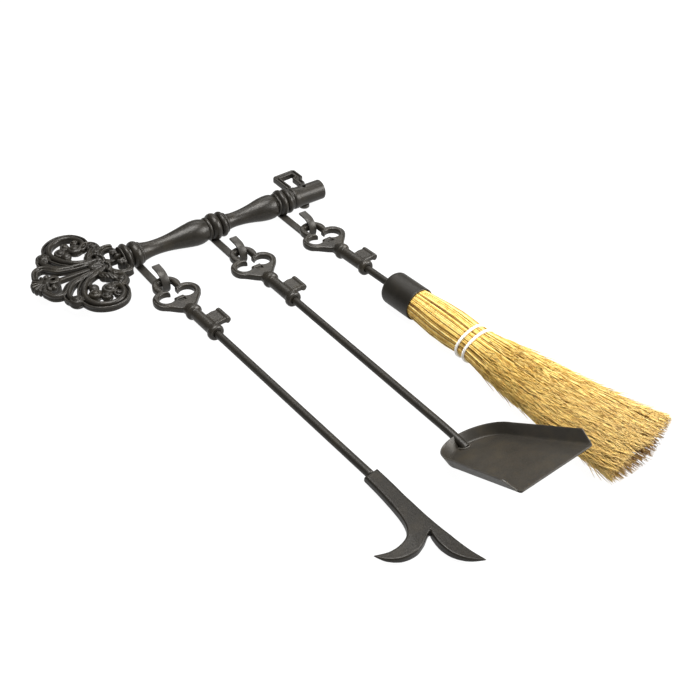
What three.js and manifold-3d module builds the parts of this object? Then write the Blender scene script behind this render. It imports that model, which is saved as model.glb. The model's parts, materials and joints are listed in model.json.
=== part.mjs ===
// Fireplace tool set: a key-shaped wall rack with a poker, a shovel and a hearth broom on its hooks.
// Millimetres, +Z up. The set lies on its back: the wall plane is z = 0, the rack's bar runs along X
// and the tools point towards -Y.
import * as THREE from 'three';
import { mergeVertices } from 'three/addons/utils/BufferGeometryUtils.js';
import Module from 'manifold-3d';

const wasm = await Module();
wasm.setup();

// ---------- driving dimensions ----------
const GAP = 0.3;                 // clearance between neighbouring pieces
const ROD_R = 4.75;              // tool rods
const BAR_Z = 19.3;              // height of the bar's axis above the wall plane
const HOOK_X = [0, 112, 221];
const SHAFT_START = -19;         // where the shaft meets the bow
const COLLAR_R = 18.8;           // large collar above each hook
const RING_R = 17.6;             // second collar ring
const NECK_R = 10.2;             // thin end of each baluster
const BELLY_R = 17.2;            // thick end of each baluster
const END_SQUEEZE = 4.5;         // the last collar is this much shorter than the one before it
const TIP_R = 14.1;              // plain end of the key
const TIP_START = 249;
const TIP_END = 292;
const BORE_R = 3.2;              // wall screw holes
const WALL_HOLE_X = [-112.5, 263.4];
const BOW_THICK = 9;             // rack bow casting
const DISC_R = 8.5;              // screw disc in the rack bow
const STRAP_W = 10.6;            // hook straps
const STRAP_T = 3;
const STRAP_Z = 3.1;
const CROOK_R = 15;
const CROOK_Y = -69.5;
const STRAP_ROOT_Y = 12;
const HOOK_TIP_Y = -59;
const SCREW_R = 2;
const END_BOSS_R = 7.5;
const BIT_THICK = 8;
const HANDLE_THICK = 9;
const SHANK_R = 7.5;
const BEAD_R = 10.4;
const SOCKET_DEPTH = 22;
const POKER_ROD = 276;
const HEAD_THICK = 10;
const PAN_DEPTH = 139;
const PAN_HALF = 50;             // half width of the pan's lip
const PAN_BACK_HALF = 39;        // half width where the rounded back begins
const PAN_BACK_DEEP = 35.5;      // how deep that rounded back is
const PAN_WALL = 13.6;
const PAN_LEAN = 5.3;            // how far the wall leans out
const PAN_FRONT_CUT = 14;        // the wall's top edge stops this much short of the lip
const PAN_SHEET = 1.6;
const PAN_TILT = 29.65;          // degrees between the pan's floor and the wall plane
const PAN_AT = -297;             // where the pan's back edge lies along the shovel's rod
const PAN_UNDER = -7.9;          // height of that edge against the rod's axis
const SHOVEL_ROD = 304;
const FERRULE = { start: 48, end: 98, r: 21.4, wall: 1.4 };
const BROOM_END = 430;
const BROOM_ROD = 92;
const CORD_R = 1.3;
const CORD_AT = 193;              // the straw is tied in at this distance along the broom
const CORD_GAP = 12;
const TOOLS = {
  poker: { at: [4.7, -203, 16.9], yaw: 3.3, pitch: 1.5 },
  shovel: { at: [114.4, -201.7, 18.1], yaw: 2.4, pitch: 1.77 },
  broom: { at: [224.8, -202.6, 21.6], yaw: 3.1, pitch: -0.35 },
};

// ---------- materials ----------
const finish = (color, roughness, metalness) => () => (
  new THREE.MeshStandardMaterial({ color, roughness, metalness })
);
const castIron = finish(0x3d3a37, 0.62, 0.55);
const blackSteel = finish(0x35322f, 0.55, 0.6);
const straw = finish(0xc9a25a, 0.85, 0);
const whiteCord = finish(0xe9e4d8, 0.8, 0);

// ---------- solids ----------
function signedVolume(position, index) {
  const [a, b, c] = [new THREE.Vector3(), new THREE.Vector3(), new THREE.Vector3()];
  let volume = 0;
  for (let i = 0; i < index.length; i += 3) {
    a.fromBufferAttribute(position, index[i]);
    b.fromBufferAttribute(position, index[i + 1]);
    c.fromBufferAttribute(position, index[i + 2]);
    volume += a.dot(b.cross(c)) / 6;
  }
  return volume;
}

function solid(geometry) {
  const bare = geometry.clone();
  bare.deleteAttribute('normal');
  bare.deleteAttribute('uv');
  const merged = mergeVertices(bare, 1e-3);
  const source = merged.index.array;
  const tris = [];
  for (let i = 0; i < source.length; i += 3) {
    const [a, b, c] = [source[i], source[i + 1], source[i + 2]];
    if (a !== b && b !== c && a !== c) tris.push(a, b, c);
  }
  if (signedVolume(merged.attributes.position, tris) < 0) tris.reverse();
  const mesh = new wasm.Mesh({
    numProp: 3,
    vertProperties: new Float32Array(merged.attributes.position.array),
    triVerts: new Uint32Array(tris),
  });
  return new wasm.Manifold(mesh);
}

function indexed(positions, index) {
  const geometry = new THREE.BufferGeometry();
  geometry.setAttribute('position', new THREE.BufferAttribute(new Float32Array(positions), 3));
  geometry.setIndex(new THREE.BufferAttribute(new Uint32Array(index), 1));
  return geometry;
}

const union = (parts) => parts.reduce((sum, part) => sum.add(part));

function named(name, body, material) {
  const { vertProperties, triVerts } = body.getMesh();
  const geometry = indexed(vertProperties, triVerts);
  geometry.computeVertexNormals();
  const mesh = new THREE.Mesh(geometry, material);
  mesh.name = name;
  return mesh;
}

function box([x0, y0, z0], [x1, y1, z1]) {
  const geometry = new THREE.BoxGeometry(x1 - x0, y1 - y0, z1 - z0);
  geometry.translate((x0 + x1) / 2, (y0 + y1) / 2, (z0 + z1) / 2);
  return solid(geometry);
}

// A post of radius r standing on (x, y) from z0 to z1.
function post(x, y, r, z0, z1, sides = 24) {
  const geometry = new THREE.CylinderGeometry(r, r, z1 - z0, sides);
  geometry.rotateX(Math.PI / 2);
  geometry.translate(x, y, (z0 + z1) / 2);
  return solid(geometry);
}

// Turned solid about the X axis: profile points are [x, radius].
function turnedX(profile, sides = 24) {
  const points = profile.map(([x, r]) => new THREE.Vector2(r, x));
  const geometry = new THREE.LatheGeometry(points, sides);
  geometry.rotateZ(-Math.PI / 2);
  return solid(geometry);
}

// A round bar about the rack's own axis, from one x to another.
const barX = (from, to, r) => turnedX([[from, 0], [from, r], [to, r], [to, 0]]).translate([0, 0, BAR_Z]);

// Turned solid about a tool's axis: profile points are [distance towards the head, radius].
function turnedTool(profile, sides = 20) {
  const points = profile.map(([s, r]) => new THREE.Vector2(r, -s));
  return solid(new THREE.LatheGeometry(points, sides));
}

// A round bar about a tool's axis.
const barTool = (from, to, r) => turnedTool([[from, 0], [from, r], [to, r], [to, 0]]);

const shapeOf = (points) => new THREE.Shape(points.map(([x, y]) => new THREE.Vector2(x, y)));

function plate(shape, z0, z1, chamfer = 0) {
  const geometry = new THREE.ExtrudeGeometry(shape, {
    depth: z1 - z0 - 2 * chamfer,
    bevelEnabled: chamfer > 0,
    bevelThickness: chamfer,
    bevelSize: chamfer,
    bevelOffset: -chamfer,
    bevelSegments: 1,
    curveSegments: 8,
  });
  geometry.translate(0, 0, z0 + chamfer);
  return solid(geometry);
}

// A flat band of even width that follows a smooth line through the given points.
function band(points, width, z0, z1) {
  const curve = new THREE.CatmullRomCurve3(points.map(([x, y]) => new THREE.Vector3(x, y, 0)));
  const count = 3 * (points.length - 1);
  const left = [];
  const right = [];
  for (let i = 0; i <= count; i++) {
    const p = curve.getPoint(i / count);
    const t = curve.getTangent(i / count);
    left.push(new THREE.Vector2(p.x - t.y * width / 2, p.y + t.x * width / 2));
    right.push(new THREE.Vector2(p.x + t.y * width / 2, p.y - t.x * width / 2));
  }
  return plate(new THREE.Shape([...left, ...right.reverse()]), z0, z1);
}

const arcPoints = (x, y, r, from, to, count) => Array.from({ length: count + 1 }, (_, i) => {
  const angle = THREE.MathUtils.degToRad(from + (to - from) * i / count);
  return [x + r * Math.cos(angle), y + r * Math.sin(angle)];
});

// ---------- rack ----------
// One collar group: a bead, the large collar over the hook and a second ring, then the next neck. The bead
// and the collar can be pressed together from the bow's side by `squeeze`.
function collarGroup(x, squeeze = 0) {
  const from = -12;
  const to = 7.5;
  const lead = [
    [from, 13.2], [-10.5, 15.4], [-8, 15.4], [-7, 13.8],
    [-5.5, COLLAR_R - 1.8], [-2, COLLAR_R], [2, COLLAR_R], [5.5, COLLAR_R - 1.8], [to, 14],
  ];
  return [
    ...lead.map(([d, r]) => [x + d + squeeze * (to - d) / (to - from), r]),
    [x + 9, RING_R - 2], [x + 12, RING_R], [x + 14.5, RING_R - 1], [x + 16.5, 14],
  ];
}

// One baluster: thin after the ring, swelling to the belly, and narrow again before the next collar.
function baluster(from, to) {
  const at = (t, r) => [from + (to - from) * t, r];
  return [at(0, 12.6), at(0.1, 10.9), at(0.22, NECK_R), at(0.38, NECK_R + 1), at(0.52, NECK_R + 3),
    at(0.64, BELLY_R - 2), at(0.76, BELLY_R), at(0.88, BELLY_R - 0.7), at(1, 14.2)];
}

function rackShaft() {
  const [first, second, third] = HOOK_X;
  const profile = [
    [SHAFT_START, 0], [SHAFT_START, 12], [first - 17, COLLAR_R - 2], [first - 13, COLLAR_R - 0.4],
    [first - 9, COLLAR_R - 2], [first - 7, 14], [first - 5, RING_R - 1], [first, RING_R],
    [first + 5, RING_R - 1], [first + 7.5, 14],
    ...baluster(first + 9, second - 13), ...collarGroup(second),
    ...baluster(second + 18, third - 13 + END_SQUEEZE), ...collarGroup(third, END_SQUEEZE),
    [TIP_START - 8, TIP_R + 1.4], [TIP_START, TIP_R + 1], [TIP_START + 1, TIP_R],
    [TIP_END - 1.5, TIP_R], [TIP_END, TIP_R - 1.5], [TIP_END, 0],
  ];
  let shaft = turnedX(profile).translate([0, 0, BAR_Z]);
  for (const x of HOOK_X) {
    const strapTop = STRAP_Z + STRAP_T / 2 + GAP;
    shaft = shaft.subtract(box([x - STRAP_W / 2 - GAP, -25, -5], [x + STRAP_W / 2 + GAP, 25, strapTop]));
    shaft = shaft.subtract(post(x, 0, SCREW_R + GAP, 0, BAR_Z - 4));
  }
  return shaft.subtract(post(WALL_HOLE_X[1], 0, BORE_R, -5, 50));
}

// The key's flat bit: an open frame with a stepped outer corner, rooted in the plain tip.
function rackBit() {
  const outline = shapeOf([[249, 8], [249, 62], [288, 64], [288, 37], [281, 31], [281, 8]]);
  const slot = shapeOf([[258, 0], [258, 53], [277, 54], [277, 47], [270, 44], [270, 0]]);
  const half = BIT_THICK / 2;
  return plate(outline, BAR_Z - half, BAR_Z + half, 0.8)
    .subtract(plate(slot, BAR_Z - BIT_THICK, BAR_Z + BIT_THICK))
    .subtract(barX(TIP_START - 9, TIP_END + 10, TIP_R + GAP))
    .subtract(barX(HOOK_X[2], TIP_START + 1, COLLAR_R + GAP));
}

// Half of the bow's scrollwork on the +Y side: each entry is a band's width and its line.
const SCROLLS = [
  [8.5, [[-46, 8], [-60, 13], [-78, 21], [-93, 38], [-99, 58], [-91, 77], [-74, 87], [-57, 83], [-46, 69],
    [-46, 53], [-56, 45]]],
  [7.5, [[-52, 10], [-75, 12], [-95, 18], [-108, 32], [-112, 48], [-104, 55]]],
  [6.5, [[-56, 45], [-66, 48], [-68, 57], [-61, 62]]],
  [6.5, [[-64, 60], [-74, 62], [-84, 58], [-92, 48]]],
  [7.5, [[-86, 14], [-104, 20], [-118, 36], [-129, 29], [-133, 14]]],
  [7.5, [[-15, 15], [-21, 30], [-32, 31], [-41, 20], [-48, 8]]],
  [8.5, [[-46, 52], [-38, 48], [-37, 38], [-42, 30], [-44, 18]]],
];
const VOLUTE = { x: -105, y: 56, r: 8.5 };   // the rolled end of each lower arm

function rackBow() {
  const z0 = BAR_Z - BOW_THICK / 2;
  const z1 = BAR_Z + BOW_THICK / 2;
  const parts = [];
  for (const [width, line] of SCROLLS) {
    for (const side of [1, -1]) {
      parts.push(band(line.map(([x, y]) => [x, y * side]), width, z0, z1));
    }
  }
  parts.push(plate(shapeOf(arcPoints(-47, 0, 14, 0, 345, 23)), z0 - 1, z1 + 1));
  for (const side of [1, -1]) parts.push(post(VOLUTE.x, VOLUTE.y * side, VOLUTE.r, z0, z1, 16));
  parts.push(post(-25, 0, 7.5, z0 - 2, z1 + 2, 16));
  parts.push(post(WALL_HOLE_X[0], 0, DISC_R, z0, z1 + 2));
  parts.push(plate(shapeOf(arcPoints(-129, 0, 13.5, 90, 270, 9)), z0, z1));
  parts.push(box([-131, -14, z0 + 1], [-118, 14, z1 - 1]));
  parts.push(box([-105, -3.5, z0 + 1], [-58, 3.5, z1 - 1]));
  parts.push(box([-32, -3.5, z0 + 1], [-12, 3.5, z1 - 1]));
  const root = SHAFT_START - GAP;
  parts.push(turnedX([[root - 1.7, 0], [root - 1.7, 16], [root, 17], [root, 0]]).translate([0, 0, BAR_Z]));
  return union(parts)
    .subtract(post(WALL_HOLE_X[0], 0, BORE_R, -5, 50))
    .subtract(barX(root, 10, 30));
}

function wallBoss(x, r, top) {
  return post(x, 0, r, 0, top).subtract(post(x, 0, BORE_R, -5, top + 5));
}

const endBoss = () => wallBoss(WALL_HOLE_X[1], END_BOSS_R, 12)
  .subtract(barX(TIP_START - 9, TIP_END + 10, TIP_R + GAP));

// A flat strap that runs along the wall, curls up and ends above the bow it holds.
function hook(x) {
  const mid = STRAP_Z + CROOK_R;
  const half = STRAP_T / 2;
  const path = [
    [STRAP_ROOT_Y, STRAP_Z - half], [CROOK_Y, STRAP_Z - half],
    ...arcPoints(CROOK_Y, mid, CROOK_R + half, 262, 98, 12),
    [CROOK_Y, mid + CROOK_R + half], [HOOK_TIP_Y, mid + CROOK_R + half + 0.8],
    [HOOK_TIP_Y, mid + CROOK_R - half + 0.8], [CROOK_Y, mid + CROOK_R - half],
    ...arcPoints(CROOK_Y, mid, CROOK_R - half, 98, 262, 12),
    [CROOK_Y, STRAP_Z + half], [STRAP_ROOT_Y, STRAP_Z + half],
  ];
  const geometry = new THREE.ExtrudeGeometry(shapeOf(path), { depth: STRAP_W, bevelEnabled: false });
  geometry.translate(0, 0, -STRAP_W / 2);
  geometry.rotateY(Math.PI / 2);
  geometry.rotateX(Math.PI / 2);
  geometry.translate(x, 0, 0);
  return solid(geometry).subtract(screwShape(x, GAP));
}

// Countersunk screw that fastens a strap into the collar above it.
function screwShape(x, grow) {
  const low = STRAP_Z - STRAP_T / 2;
  const profile = [[low - grow, 0], [low - grow, 3.6 + grow], [low + 1.8, SCREW_R + grow],
    [BAR_Z - 5 + grow * 2, SCREW_R + grow], [BAR_Z - 5 + grow * 2, 0]];
  const points = profile.map(([z, r]) => new THREE.Vector2(r, z));
  const geometry = new THREE.LatheGeometry(points, 16);
  geometry.rotateX(Math.PI / 2);
  return solid(geometry).translate([x, 0, 0]);
}

// ---------- tool handle: a small key with a trefoil bow, a shank with two beads and a bit ----------
function trefoil() {
  const half = HANDLE_THICK / 2;
  const disc = (x, y, r) => {
    const circle = new THREE.Shape();
    circle.absarc(x, y, r, 0, Math.PI * 2);
    return plate(circle, -half, half, 1.4);
  };
  const base = shapeOf([[-25, 82], [-22, 70], [-9, 54], [9, 54], [22, 70], [25, 82]]);
  const topHole = new THREE.Shape();
  topHole.moveTo(-9.2, 106).lineTo(9.2, 106).lineTo(9.2, 119.1);
  topHole.absarc(5.7, 119.1, 3.5, 0, Math.PI / 2).absarc(-5.7, 119.1, 3.5, Math.PI / 2, Math.PI);
  const cuts = [
    plate(topHole, -20, 20),
    box([-5, 86, -20], [5, 108, 20]),
    post(13, 91.5, 9, -20, 20, 16),
    post(-13, 91.5, 9, -20, 20, 16),
  ];
  return union([disc(0, 114.5, 17.8), disc(14.5, 90, 17), disc(-14.5, 90, 17), plate(base, -half, half, 1.4)])
    .subtract(union(cuts));
}

function handle() {
  const shank = turnedTool([[-60, 0], [-60, 7.5], [-56.5, BEAD_R - 1.5], [-54, BEAD_R], [-51, BEAD_R],
    [-48.5, BEAD_R - 2], [-47, SHANK_R], [-9, SHANK_R + 0.4], [-7.5, BEAD_R - 1], [-5, BEAD_R],
    [-2.5, BEAD_R], [0, BEAD_R - 2], [0, 0]]);
  const bit = plate(shapeOf([[0, 14], [0, 35], [27.5, 36.5], [27.5, 14.5]]), -3, 3, 0.8);
  const lip = box([22, 14, -4], [28, 36.8, 4]);
  return union([trefoil(), shank, bit, lip]).subtract(barTool(-SOCKET_DEPTH - GAP, 5, ROD_R + GAP));
}

const rod = (to) => barTool(-SOCKET_DEPTH, to, ROD_R);

function smoothOutline(points, steps) {
  const curve = new THREE.SplineCurve(points.map(([x, s]) => new THREE.Vector2(x, -s)));
  return curve.getPoints(steps);
}

// ---------- poker ----------
// Forged head: a straight spike that leans right at its tip and a hook that curls back to the left.
function pokerHead() {
  const start = POKER_ROD + GAP;
  const right = smoothOutline([[8.5, start + 6], [8.2, 305], [7, 328], [7, 356], [8.7, 382], [12, 404],
    [17.5, 424]], 14);
  const inner = smoothOutline([[17.5, 424], [4, 414.5], [-5, 401], [-7, 386], [-3.5, 368]], 10);
  const hookInner = smoothOutline([[-3.5, 368], [-8, 368], [-17, 374.5], [-30, 378.5], [-45, 376],
    [-57, 367], [-63, 355]], 12);
  const hookOuter = smoothOutline([[-63, 355], [-50, 361], [-38, 362.5], [-26, 359.5], [-18, 351],
    [-13.6, 337], [-11.5, 318], [-10, 300], [-9, start + 6]], 16);
  const outline = new THREE.Shape([...right, ...inner.slice(1), ...hookInner.slice(1), ...hookOuter.slice(1),
    new THREE.Vector2(-7, -start), new THREE.Vector2(6.5, -start)]);
  return plate(outline, -HEAD_THICK / 2, HEAD_THICK / 2, 0.6);
}

// ---------- shovel ----------
// Outline of the pan at a given outward offset: straight flared sides and a rounded back.
function panOutline(offset, front) {
  const wide = PAN_BACK_HALF + offset;
  const deep = PAN_BACK_DEEP + offset;
  const back = Array.from({ length: 15 }, (_, i) => {
    const angle = Math.PI + (Math.PI * i) / 14;
    return [Math.cos(angle) * wide, 1 - offset + deep * (1 + Math.sin(angle))];
  });
  return shapeOf([[-PAN_HALF - offset, front], ...back, [PAN_HALF + offset, front]]).getPoints();
}

// A closed block between a lower and an upper outline with the same number of points.
function loft(lower, upper, z0, z1) {
  const count = lower.length;
  const positions = [];
  for (const p of lower) positions.push(p.x, p.y, z0);
  for (const p of upper) positions.push(p.x, p.y, z1);
  const index = [];
  for (let i = 0; i < count; i++) {
    const j = (i + 1) % count;
    index.push(i, j, count + j, i, count + j, count + i);
  }
  const lid = (outline) => THREE.ShapeUtils.triangulateShape(outline, []);
  for (const [a, b, c] of lid(lower)) index.push(c, b, a);
  for (const [a, b, c] of lid(upper)) index.push(count + a, count + b, count + c);
  return solid(indexed(positions, index));
}

function shovelPan() {
  const outer = loft(panOutline(0, PAN_DEPTH), panOutline(PAN_LEAN, PAN_DEPTH - PAN_FRONT_CUT), 0, PAN_WALL);
  const tall = 30;
  const lean = (PAN_LEAN * tall) / PAN_WALL;
  const past = PAN_DEPTH + 40;
  return outer.subtract(loft(panOutline(-PAN_SHEET, past), panOutline(lean - PAN_SHEET, past),
    PAN_SHEET, PAN_SHEET + tall));
}

// Places a piece given in the pan's frame (x across, y forward, z up from its floor) on the shovel.
function onPan(body) {
  return body.rotate([0, 0, 180]).rotate([-PAN_TILT - TOOLS.shovel.pitch, 0, 0])
    .translate([0, PAN_AT, PAN_UNDER]);
}

function shovelRod() {
  const under = onPan(box([-30, -4, -40], [30, 60, PAN_SHEET + GAP]));
  const nose = turnedTool([[-SOCKET_DEPTH, 0], [-SOCKET_DEPTH, ROD_R], [SHOVEL_ROD - 4, ROD_R],
    [SHOVEL_ROD - 1, ROD_R - 1.6], [SHOVEL_ROD, ROD_R - 3.4], [SHOVEL_ROD, 0]]);
  return nose.subtract(under);
}

// ---------- broom ----------
function ferrule() {
  const { start, end, r, wall } = FERRULE;
  return turnedTool([[start, ROD_R + GAP], [start, r - 3], [start + 1, r - 1], [start + 3, r], [end, r],
    [end, r - wall], [start + 3, r - wall], [start + wall, r - 4], [start + wall, ROD_R + GAP],
    [start, ROD_R + GAP]], 32);
}

// Half width and half height of the straw at distances along the broom.
const STRAW = [
  [48, 17.5, 17.5], [98, 19.2, 19.2], [112, 21, 20.2], [130, 23.6, 21], [158, 25.4, 21],
  [176, 24.8, 19.4], [CORD_AT, 24.2, 17.8], [206, 26.4, 18.2], [222, 29.8, 18.6], [245, 33.6, 18.6],
  [270, 37.2, 18.5], [300, 41, 18], [331, 45, 17.6], [380, 50.4, 17], [BROOM_END, 54.5, 16.5],
];
const DRIFT_FROM = 110;               // past here the straw leans to the right and upwards
const UNDER_CORDS = [CORD_AT - CORD_GAP / 2, CORD_AT + CORD_GAP / 2];
const SPREAD_RINGS = [355, 405];      // extra rings in the longest stretches of the spread

// Half width, half height and sideways and upward drift of the straw at a distance along the broom.
function strawSection(s) {
  const next = Math.max(1, STRAW.findIndex(([at]) => at >= s));
  const [[s0, w0, h0], [s1, w1, h1]] = [STRAW[next - 1], STRAW[next]];
  const share = (s - s0) / (s1 - s0);
  const t = THREE.MathUtils.clamp((s - DRIFT_FROM) / (BROOM_END - DRIFT_FROM), 0, 1);
  return {
    wide: THREE.MathUtils.lerp(w0, w1, share),
    high: THREE.MathUtils.lerp(h0, h1, share),
    right: 3 * t + 5.5 * t ** 2,
    up: -6 * t + 8 * t ** 2,
  };
}

function bristles() {
  const top = FERRULE.start + 8;
  const stations = STRAW.map(([s]) => s).slice(1);
  const rings = [top, ...stations, ...UNDER_CORDS, ...SPREAD_RINGS].sort((a, b) => a - b);
  const profile = [[top, 0], ...rings.map((s) => [s, 1]), [BROOM_END, 0]];
  const geometry = new THREE.LatheGeometry(profile.map(([s, r]) => new THREE.Vector2(r, -s)), 24);
  const position = geometry.attributes.position;
  for (let i = 0; i < position.count; i++) {
    const { wide, high, right, up } = strawSection(-position.getY(i));
    position.setX(i, position.getX(i) * wide + right);
    position.setZ(i, position.getZ(i) * high + up);
  }
  return solid(geometry).subtract(barTool(0, BROOM_ROD + GAP, ROD_R + GAP));
}

// A cord tied round the straw at a distance along the broom.
function cord(s) {
  const { wide, high, right, up } = strawSection(s);
  const geometry = new THREE.TorusGeometry(3, 1, 6, 24);
  const position = geometry.attributes.position;
  for (let i = 0; i < position.count; i++) {
    const angle = Math.atan2(position.getY(i), position.getX(i));
    const out = Math.hypot(position.getX(i), position.getY(i)) - 3;
    const x = (wide + 1 + CORD_R * (1 + out)) * Math.cos(angle) + right;
    const z = (high + 0.6 + CORD_R * (1 + out)) * Math.sin(angle) + up;
    position.setXYZ(i, x, -s + CORD_R * position.getZ(i), z);
  }
  return solid(geometry);
}

// ---------- assembly ----------
function tool(name, pieces) {
  const { at, yaw, pitch } = TOOLS[name];
  const group = new THREE.Group();
  group.position.set(...at);
  group.rotation.order = 'ZXY';
  group.rotation.set(THREE.MathUtils.degToRad(pitch), 0, THREE.MathUtils.degToRad(yaw));
  group.add(...pieces);
  return group;
}

const rack = new THREE.Group();
rack.add(
  named('rack_shaft', rackShaft(), castIron()),
  named('rack_bow', rackBow(), castIron()),
  named('rack_bit', rackBit(), castIron()),
  named('wall_boss_bow', wallBoss(WALL_HOLE_X[0], DISC_R, BAR_Z - BOW_THICK / 2 - GAP), castIron()),
  named('wall_boss_end', endBoss(), castIron()),
);
['poker', 'shovel', 'broom'].forEach((name, i) => {
  rack.add(named(`hook_${name}`, hook(HOOK_X[i]), blackSteel()));
  rack.add(named(`hook_screw_${name}`, screwShape(HOOK_X[i], 0), blackSteel()));
});

const poker = tool('poker', [
  named('poker_handle', handle(), castIron()),
  named('poker_rod', rod(POKER_ROD), blackSteel()),
  named('poker_head', pokerHead(), castIron()),
]);

const rodNotch = barTool(250, -PAN_AT + 1, ROD_R + GAP);
const shovel = tool('shovel', [
  named('shovel_handle', handle(), castIron()),
  named('shovel_rod', shovelRod(), blackSteel()),
  named('shovel_pan', onPan(shovelPan()).subtract(rodNotch), blackSteel()),
]);

const broom = tool('broom', [
  named('broom_handle', handle(), castIron()),
  named('broom_rod', rod(BROOM_ROD), blackSteel()),
  named('broom_ferrule', ferrule(), blackSteel()),
  named('broom_bristles', bristles(), straw()),
  named('broom_cord_upper', cord(UNDER_CORDS[0]), whiteCord()),
  named('broom_cord_lower', cord(UNDER_CORDS[1]), whiteCord()),
]);

const set = new THREE.Group();
set.add(rack, poker, shovel, broom);
set.updateMatrixWorld(true);
const reach = new THREE.Box3().setFromObject(set, true);
set.position.set(-(reach.min.x + reach.max.x) / 2, -(reach.min.y + reach.max.y) / 2, -reach.min.z);
set.updateMatrixWorld(true);

export default set;
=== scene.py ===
"""Fireplace tool set: a key-shaped wall rack with a poker, a shovel and a hearth broom on its hooks.

Lengths are in millimetres until a mesh is made, and angles are in degrees. The rack's own frame has x = 0
at the first hook, y = 0 on the bar and z = 0 on the wall. The bar's frame is the same, but with z = 0 on the
bar. A tool's own frame has y = 0 at the end of its handle and +y towards its bow, so its head lies at
negative y.
"""
import json
import math

import bpy
import numpy as np
from mathutils import Matrix, Vector


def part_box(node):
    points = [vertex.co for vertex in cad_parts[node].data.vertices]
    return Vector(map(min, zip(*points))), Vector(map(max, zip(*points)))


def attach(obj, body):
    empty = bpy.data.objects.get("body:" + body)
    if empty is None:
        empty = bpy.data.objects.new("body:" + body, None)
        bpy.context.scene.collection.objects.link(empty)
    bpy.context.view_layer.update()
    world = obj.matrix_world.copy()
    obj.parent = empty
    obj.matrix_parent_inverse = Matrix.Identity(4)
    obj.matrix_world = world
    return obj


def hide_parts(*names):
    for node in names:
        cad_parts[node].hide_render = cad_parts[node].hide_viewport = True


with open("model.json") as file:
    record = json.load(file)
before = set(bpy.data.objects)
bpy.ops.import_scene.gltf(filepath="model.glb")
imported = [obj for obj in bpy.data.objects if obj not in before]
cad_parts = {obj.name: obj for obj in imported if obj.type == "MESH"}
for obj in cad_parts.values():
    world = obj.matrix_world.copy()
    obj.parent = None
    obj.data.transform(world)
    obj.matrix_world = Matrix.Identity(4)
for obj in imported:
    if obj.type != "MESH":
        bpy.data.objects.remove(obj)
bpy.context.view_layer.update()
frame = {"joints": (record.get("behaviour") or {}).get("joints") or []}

# ---------- driving dimensions ----------
MM = 0.001
SEED = 7
HOOK_X = (0.0, 112.0, 221.0)
COLLAR_R = 18.8
RING_R = 17.6
TIP_R = 14.1
TIP_START = 249.0
TIP_END = 292.0
SHAFT_START = -19.0
WALL_HOLES = (-112.5, 263.4)
BORE_R = 3.2
BOSS_R = (8.5, 7.5)
BOW_HALF = 4.5
BIT_HALF = 4.0
STRAP_W = 10.6
STRAP_T = 3.0
STRAP_Z = 3.1
STRAP_BACK = STRAP_Z - STRAP_T / 2
CROOK_R = 15.0
CROOK_Y = -69.5
STRAP_ROOT_Y = 12.0
HOOK_TIP_Y = -59.0
SCREW_R = 2.0
ROD_R = 4.75
HANDLE_HALF = 4.5
BEAD_R = 10.4
SHANK_R = 7.5
SOCKET_DEPTH = 22.0
POKER_ROD = 276.0
SHOVEL_ROD = 304.0
BROOM_ROD = 92.0
HEAD_HALF = 5.0
GAP = 0.3
PAN_DEPTH = 139.0
PAN_HALF = 50.0
PAN_BACK_HALF = 39.0
PAN_BACK_DEEP = 35.5
PAN_WALL = 13.6
PAN_LEAN = 5.3
PAN_FRONT_CUT = 14.0
PAN_SHEET = 1.6
PAN_TILT = 29.65
PAN_AT = -297.0
PAN_UNDER = -7.9
FERRULE_START = 48.0
FERRULE_END = 98.0
FERRULE_R = 21.4
STRAW_END = 430.0
CORD_AT = 193.0
CORD_GAP = 12.0
# Where each tool's own frame sits in the rack's, how far it turns about Z and how far its bow end is raised.
TOOLS = {
    "poker": ((4.7, -203.0, 16.9), 3.3, 1.5),
    "shovel": ((114.4, -201.7, 18.1), 2.4, 1.77),
    "broom": ((224.8, -202.6, 21.6), 3.1, -0.35),
}

first_joint = next(j for j in frame["joints"] if j["name"] == "poker_swing")
shaft_low, shaft_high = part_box("rack_shaft")
BAR_Z = shaft_high.z / MM - COLLAR_R
RACK = Matrix.Translation((first_joint["pos_m"][0] / MM, (shaft_low.y + shaft_high.y) / 2 / MM, 0))
BAR = RACK @ Matrix.Translation((0, 0, BAR_Z))
# Turned pieces are made about the x axis. These turn that axis up from the wall, or down along a tool.
UPRIGHT = Matrix(((0, 1, 0), (0, 0, 1), (1, 0, 0))).to_4x4()
DOWN_TOOL = Matrix(((0, 0, -1), (-1, 0, 0), (0, 1, 0))).to_4x4()


def tool_frame(name):
    at, yaw, pitch = TOOLS[name]
    turn = Matrix.Rotation(math.radians(yaw), 4, "Z") @ Matrix.Rotation(math.radians(pitch), 4, "X")
    return RACK @ Matrix.Translation(at) @ turn


def upright_at(x):
    return RACK @ Matrix.Translation((x, 0, 0)) @ UPRIGHT


# ---------- meshes ----------
def in_scene(name, data):
    made = bpy.data.objects.new(name, data)
    bpy.context.scene.collection.objects.link(made)
    return made


def solid(name, points, faces, at):
    """An object from points in the frame `at`."""
    world = np.array(at)
    placed = (np.asarray(points, float) @ world[:3, :3].T + world[:3, 3]) * MM
    mesh = bpy.data.meshes.new(name)
    mesh.from_pydata(placed.tolist(), [], faces if isinstance(faces, list) else faces.tolist())
    return in_scene(name, mesh)


def piece(name, points, faces, at, material, body, slot, *nodes):
    """A smooth object in one material, which rides on a body and stands for CAD nodes."""
    made = solid(name, points, faces, at)
    made.data.materials.append(material)
    made.data.shade_smooth()
    made.data.update()
    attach(made, body)
    if nodes:
        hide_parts(*nodes)
    return made


def cut(target, cutter_points, cutter_faces, at):
    """Takes a closed cutter away from a piece, for good."""
    cutter = solid("cutter", cutter_points, cutter_faces, at)
    modify(target, "BOOLEAN", operation="DIFFERENCE", solver="MANIFOLD", object=cutter)
    mesh = cutter.data
    bpy.data.objects.remove(cutter)
    bpy.data.meshes.remove(mesh)


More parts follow.
